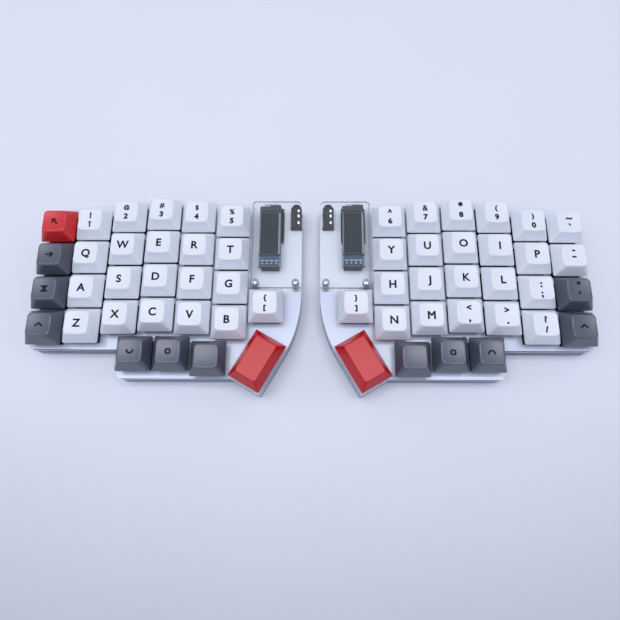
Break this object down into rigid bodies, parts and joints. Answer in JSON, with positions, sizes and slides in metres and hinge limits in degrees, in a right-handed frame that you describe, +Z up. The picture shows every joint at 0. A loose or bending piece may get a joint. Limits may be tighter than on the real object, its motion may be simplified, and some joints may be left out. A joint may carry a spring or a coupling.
{
  "type": "split keyboard",
  "caption": "Split keyboard in two stacked, open-sided halves with staggered columns of sprung keys, turned long thumb keys and a small display under a clear cover.",
  "frame": {"origin": "middle of the bounding box's base, on the table under the rubber feet, between the two halves", "axes": "+X to the user's right across both halves, +Y away from the user, +Z up"},
  "size_m": [0.2956, 0.108, 0.0258],
  "materials": {
    "white_caps": "fine matt",
    "grey_caps": "fine matt",
    "red_caps": "semi-gloss",
    "white_plate": "glossy lacquer",
    "circuit_board": "glossy lacquer",
    "brass_spacer": "turned",
    "steel_screw": "plated",
    "rubber_foot": "matt",
    "clear_acrylic": "polished",
    "display_glass": "dark glass on a blue board",
    "controller_board": "satin lacquer",
    "plated_steel": "plated",
    "black_plastic": "satin"
  },
  "bodies": {
    "base": {"switch_plates": "white_plate", "circuit_boards": "circuit_board", "bottom_plates": "white_plate", "spacers": "brass_spacer", "screws": "steel_screw", "rubber_feet": "rubber_foot", "switch_housings": "black_plastic", "display_covers": "clear_acrylic", "display_modules": "display_glass", "controller_boards": "controller_board", "data_ports": "plated_steel", "link_jacks": "black_plastic"},
    "left_key_t": {"left_key_t": "white_caps"},
    "left_key_r": {"left_key_r": "white_caps"},
    "left_key_e": {"left_key_e": "white_caps"},
    "left_key_w": {"left_key_w": "white_caps"},
    "left_key_q": {"left_key_q": "white_caps"},
    "left_key_tab": {"left_key_tab": "grey_caps"},
    "left_key_g": {"left_key_g": "white_caps"},
    "left_key_f": {"left_key_f": "white_caps"},
    "left_key_d": {"left_key_d": "white_caps"},
    "left_key_s": {"left_key_s": "white_caps"},
    "left_key_a": {"left_key_a": "white_caps"},
    "left_key_lock": {"left_key_lock": "grey_caps"},
    "left_key_b": {"left_key_b": "white_caps"},
    "left_key_v": {"left_key_v": "white_caps"},
    "left_key_c": {"left_key_c": "white_caps"},
    "left_key_x": {"left_key_x": "white_caps"},
    "left_key_z": {"left_key_z": "white_caps"},
    "left_key_shift": {"left_key_shift": "grey_caps"},
    "right_key_y": {"right_key_y": "white_caps"},
    "right_key_u": {"right_key_u": "white_caps"},
    "right_key_o": {"right_key_o": "white_caps"},
    "right_key_i": {"right_key_i": "white_caps"},
    "right_key_p": {"right_key_p": "white_caps"},
    "right_key_dash": {"right_key_dash": "white_caps"},
    "right_key_h": {"right_key_h": "white_caps"},
    "right_key_j": {"right_key_j": "white_caps"},
    "right_key_k": {"right_key_k": "white_caps"},
    "right_key_l": {"right_key_l": "white_caps"},
    "right_key_colon": {"right_key_colon": "white_caps"},
    "right_key_quote": {"right_key_quote": "grey_caps"},
    "right_key_n": {"right_key_n": "white_caps"},
    "right_key_m": {"right_key_m": "white_caps"},
    "right_key_comma": {"right_key_comma": "white_caps"},
    "right_key_period": {"right_key_period": "white_caps"},
    "right_key_slash": {"right_key_slash": "white_caps"},
    "right_key_shift": {"right_key_shift": "grey_caps"},
    "left_thumb_key_1": {"left_thumb_key_1": "grey_caps"},
    "left_thumb_key_2": {"left_thumb_key_2": "grey_caps"},
    "left_thumb_key_3": {"left_thumb_key_3": "grey_caps"},
    "right_thumb_key_1": {"right_thumb_key_1": "grey_caps"},
    "right_thumb_key_2": {"right_thumb_key_2": "grey_caps"},
    "right_thumb_key_3": {"right_thumb_key_3": "grey_caps"},
    "left_number_keys": {"left_number_keys": "white_caps"},
    "left_bracket_key": {"left_bracket_key": "white_caps"},
    "left_long_thumb_key": {"left_long_thumb_key": "red_caps"},
    "right_number_keys": {"right_number_keys": "white_caps"},
    "right_bracket_key": {"right_bracket_key": "white_caps"},
    "right_long_thumb_key": {"right_long_thumb_key": "red_caps"}
  },
  "joints": [
    {"name": "left_key_t_press", "type": "slide", "parent": "base", "child": "left_key_t", "axis": [0, 0, -1], "range_m": [0, 0.004], "stiffness_N_per_m": 75, "springref_m": -0.004},
    {"name": "left_key_r_press", "type": "slide", "parent": "base", "child": "left_key_r", "axis": [0, 0, -1], "range_m": [0, 0.004], "stiffness_N_per_m": 75, "springref_m": -0.004},
    {"name": "left_key_e_press", "type": "slide", "parent": "base", "child": "left_key_e", "axis": [0, 0, -1], "range_m": [0, 0.004], "stiffness_N_per_m": 75, "springref_m": -0.004},
    {"name": "left_key_w_press", "type": "slide", "parent": "base", "child": "left_key_w", "axis": [0, 0, -1], "range_m": [0, 0.004], "stiffness_N_per_m": 75, "springref_m": -0.004},
    {"name": "left_key_q_press", "type": "slide", "parent": "base", "child": "left_key_q", "axis": [0, 0, -1], "range_m": [0, 0.004], "stiffness_N_per_m": 75, "springref_m": -0.004},
    {"name": "left_key_tab_press", "type": "slide", "parent": "base", "child": "left_key_tab", "axis": [0, 0, -1], "range_m": [0, 0.004], "stiffness_N_per_m": 75, "springref_m": -0.004},
    {"name": "left_key_g_press", "type": "slide", "parent": "base", "child": "left_key_g", "axis": [0, 0, -1], "range_m": [0, 0.004], "stiffness_N_per_m": 75, "springref_m": -0.004},
    {"name": "left_key_f_press", "type": "slide", "parent": "base", "child": "left_key_f", "axis": [0, 0, -1], "range_m": [0, 0.004], "stiffness_N_per_m": 75, "springref_m": -0.004},
    {"name": "left_key_d_press", "type": "slide", "parent": "base", "child": "left_key_d", "axis": [0, 0, -1], "range_m": [0, 0.004], "stiffness_N_per_m": 75, "springref_m": -0.004},
    {"name": "left_key_s_press", "type": "slide", "parent": "base", "child": "left_key_s", "axis": [0, 0, -1], "range_m": [0, 0.004], "stiffness_N_per_m": 75, "springref_m": -0.004},
    {"name": "left_key_a_press", "type": "slide", "parent": "base", "child": "left_key_a", "axis": [0, 0, -1], "range_m": [0, 0.004], "stiffness_N_per_m": 75, "springref_m": -0.004},
    {"name": "left_key_lock_press", "type": "slide", "parent": "base", "child": "left_key_lock", "axis": [0, 0, -1], "range_m": [0, 0.004], "stiffness_N_per_m": 75, "springref_m": -0.004},
    {"name": "left_key_b_press", "type": "slide", "parent": "base", "child": "left_key_b", "axis": [0, 0, -1], "range_m": [0, 0.004], "stiffness_N_per_m": 75, "springref_m": -0.004},
    {"name": "left_key_v_press", "type": "slide", "parent": "base", "child": "left_key_v", "axis": [0, 0, -1], "range_m": [0, 0.004], "stiffness_N_per_m": 75, "springref_m": -0.004},
    {"name": "left_key_c_press", "type": "slide", "parent": "base", "child": "left_key_c", "axis": [0, 0, -1], "range_m": [0, 0.004], "stiffness_N_per_m": 75, "springref_m": -0.004},
    {"name": "left_key_x_press", "type": "slide", "parent": "base", "child": "left_key_x", "axis": [0, 0, -1], "range_m": [0, 0.004], "stiffness_N_per_m": 75, "springref_m": -0.004},
    {"name": "left_key_z_press", "type": "slide", "parent": "base", "child": "left_key_z", "axis": [0, 0, -1], "range_m": [0, 0.004], "stiffness_N_per_m": 75, "springref_m": -0.004},
    {"name": "left_key_shift_press", "type": "slide", "parent": "base", "child": "left_key_shift", "axis": [0, 0, -1], "range_m": [0, 0.004], "stiffness_N_per_m": 75, "springref_m": -0.004},
    {"name": "right_key_y_press", "type": "slide", "parent": "base", "child": "right_key_y", "axis": [0, 0, -1], "range_m": [0, 0.004], "stiffness_N_per_m": 75, "springref_m": -0.004},
    {"name": "right_key_u_press", "type": "slide", "parent": "base", "child": "right_key_u", "axis": [0, 0, -1], "range_m": [0, 0.004], "stiffness_N_per_m": 75, "springref_m": -0.004},
    {"name": "right_key_o_press", "type": "slide", "parent": "base", "child": "right_key_o", "axis": [0, 0, -1], "range_m": [0, 0.004], "stiffness_N_per_m": 75, "springref_m": -0.004},
    {"name": "right_key_i_press", "type": "slide", "parent": "base", "child": "right_key_i", "axis": [0, 0, -1], "range_m": [0, 0.004], "stiffness_N_per_m": 75, "springref_m": -0.004},
    {"name": "right_key_p_press", "type": "slide", "parent": "base", "child": "right_key_p", "axis": [0, 0, -1], "range_m": [0, 0.004], "stiffness_N_per_m": 75, "springref_m": -0.004},
    {"name": "right_key_dash_press", "type": "slide", "parent": "base", "child": "right_key_dash", "axis": [0, 0, -1], "range_m": [0, 0.004], "stiffness_N_per_m": 75, "springref_m": -0.004},
    {"name": "right_key_h_press", "type": "slide", "parent": "base", "child": "right_key_h", "axis": [0, 0, -1], "range_m": [0, 0.004], "stiffness_N_per_m": 75, "springref_m": -0.004},
    {"name": "right_key_j_press", "type": "slide", "parent": "base", "child": "right_key_j", "axis": [0, 0, -1], "range_m": [0, 0.004], "stiffness_N_per_m": 75, "springref_m": -0.004},
    {"name": "right_key_k_press", "type": "slide", "parent": "base", "child": "right_key_k", "axis": [0, 0, -1], "range_m": [0, 0.004], "stiffness_N_per_m": 75, "springref_m": -0.004},
    {"name": "right_key_l_press", "type": "slide", "parent": "base", "child": "right_key_l", "axis": [0, 0, -1], "range_m": [0, 0.004], "stiffness_N_per_m": 75, "springref_m": -0.004},
    {"name": "right_key_colon_press", "type": "slide", "parent": "base", "child": "right_key_colon", "axis": [0, 0, -1], "range_m": [0, 0.004], "stiffness_N_per_m": 75, "springref_m": -0.004},
    {"name": "right_key_quote_press", "type": "slide", "parent": "base", "child": "right_key_quote", "axis": [0, 0, -1], "range_m": [0, 0.004], "stiffness_N_per_m": 75, "springref_m": -0.004},
    {"name": "right_key_n_press", "type": "slide", "parent": "base", "child": "right_key_n", "axis": [0, 0, -1], "range_m": [0, 0.004], "stiffness_N_per_m": 75, "springref_m": -0.004},
    {"name": "right_key_m_press", "type": "slide", "parent": "base", "child": "right_key_m", "axis": [0, 0, -1], "range_m": [0, 0.004], "stiffness_N_per_m": 75, "springref_m": -0.004},
    {"name": "right_key_comma_press", "type": "slide", "parent": "base", "child": "right_key_comma", "axis": [0, 0, -1], "range_m": [0, 0.004], "stiffness_N_per_m": 75, "springref_m": -0.004},
    {"name": "right_key_period_press", "type": "slide", "parent": "base", "child": "right_key_period", "axis": [0, 0, -1], "range_m": [0, 0.004], "stiffness_N_per_m": 75, "springref_m": -0.004},
    {"name": "right_key_slash_press", "type": "slide", "parent": "base", "child": "right_key_slash", "axis": [0, 0, -1], "range_m": [0, 0.004], "stiffness_N_per_m": 75, "springref_m": -0.004},
    {"name": "right_key_shift_press", "type": "slide", "parent": "base", "child": "right_key_shift", "axis": [0, 0, -1], "range_m": [0, 0.004], "stiffness_N_per_m": 75, "springref_m": -0.004},
    {"name": "left_thumb_key_1_press", "type": "slide", "parent": "base", "child": "left_thumb_key_1", "axis": [0, 0, -1], "range_m": [0, 0.004], "stiffness_N_per_m": 75, "springref_m": -0.004},
    {"name": "left_thumb_key_2_press", "type": "slide", "parent": "base", "child": "left_thumb_key_2", "axis": [0, 0, -1], "range_m": [0, 0.004], "stiffness_N_per_m": 75, "springref_m": -0.004},
    {"name": "left_thumb_key_3_press", "type": "slide", "parent": "base", "child": "left_thumb_key_3", "axis": [0, 0, -1], "range_m": [0, 0.004], "stiffness_N_per_m": 75, "springref_m": -0.004},
    {"name": "right_thumb_key_1_press", "type": "slide", "parent": "base", "child": "right_thumb_key_1", "axis": [0, 0, -1], "range_m": [0, 0.004], "stiffness_N_per_m": 75, "springref_m": -0.004},
    {"name": "right_thumb_key_2_press", "type": "slide", "parent": "base", "child": "right_thumb_key_2", "axis": [0, 0, -1], "range_m": [0, 0.004], "stiffness_N_per_m": 75, "springref_m": -0.004},
    {"name": "right_thumb_key_3_press", "type": "slide", "parent": "base", "child": "right_thumb_key_3", "axis": [0, 0, -1], "range_m": [0, 0.004], "stiffness_N_per_m": 75, "springref_m": -0.004},
    {"name": "left_number_keys_press", "type": "slide", "parent": "base", "child": "left_number_keys", "axis": [0, 0, -1], "range_m": [0, 0.004], "stiffness_N_per_m": 450, "springref_m": -0.004},
    {"name": "left_bracket_key_press", "type": "slide", "parent": "base", "child": "left_bracket_key", "axis": [0, 0, -1], "range_m": [0, 0.004], "stiffness_N_per_m": 75, "springref_m": -0.004},
    {"name": "left_long_thumb_key_press", "type": "slide", "parent": "base", "child": "left_long_thumb_key", "axis": [0, 0, -1], "range_m": [0, 0.004], "stiffness_N_per_m": 75, "springref_m": -0.004},
    {"name": "right_number_keys_press", "type": "slide", "parent": "base", "child": "right_number_keys", "axis": [0, 0, -1], "range_m": [0, 0.004], "stiffness_N_per_m": 450, "springref_m": -0.004},
    {"name": "right_bracket_key_press", "type": "slide", "parent": "base", "child": "right_bracket_key", "axis": [0, 0, -1], "range_m": [0, 0.004], "stiffness_N_per_m": 75, "springref_m": -0.004},
    {"name": "right_long_thumb_key_press", "type": "slide", "parent": "base", "child": "right_long_thumb_key", "axis": [0, 0, -1], "range_m": [0, 0.004], "stiffness_N_per_m": 75, "springref_m": -0.004}
  ]
}
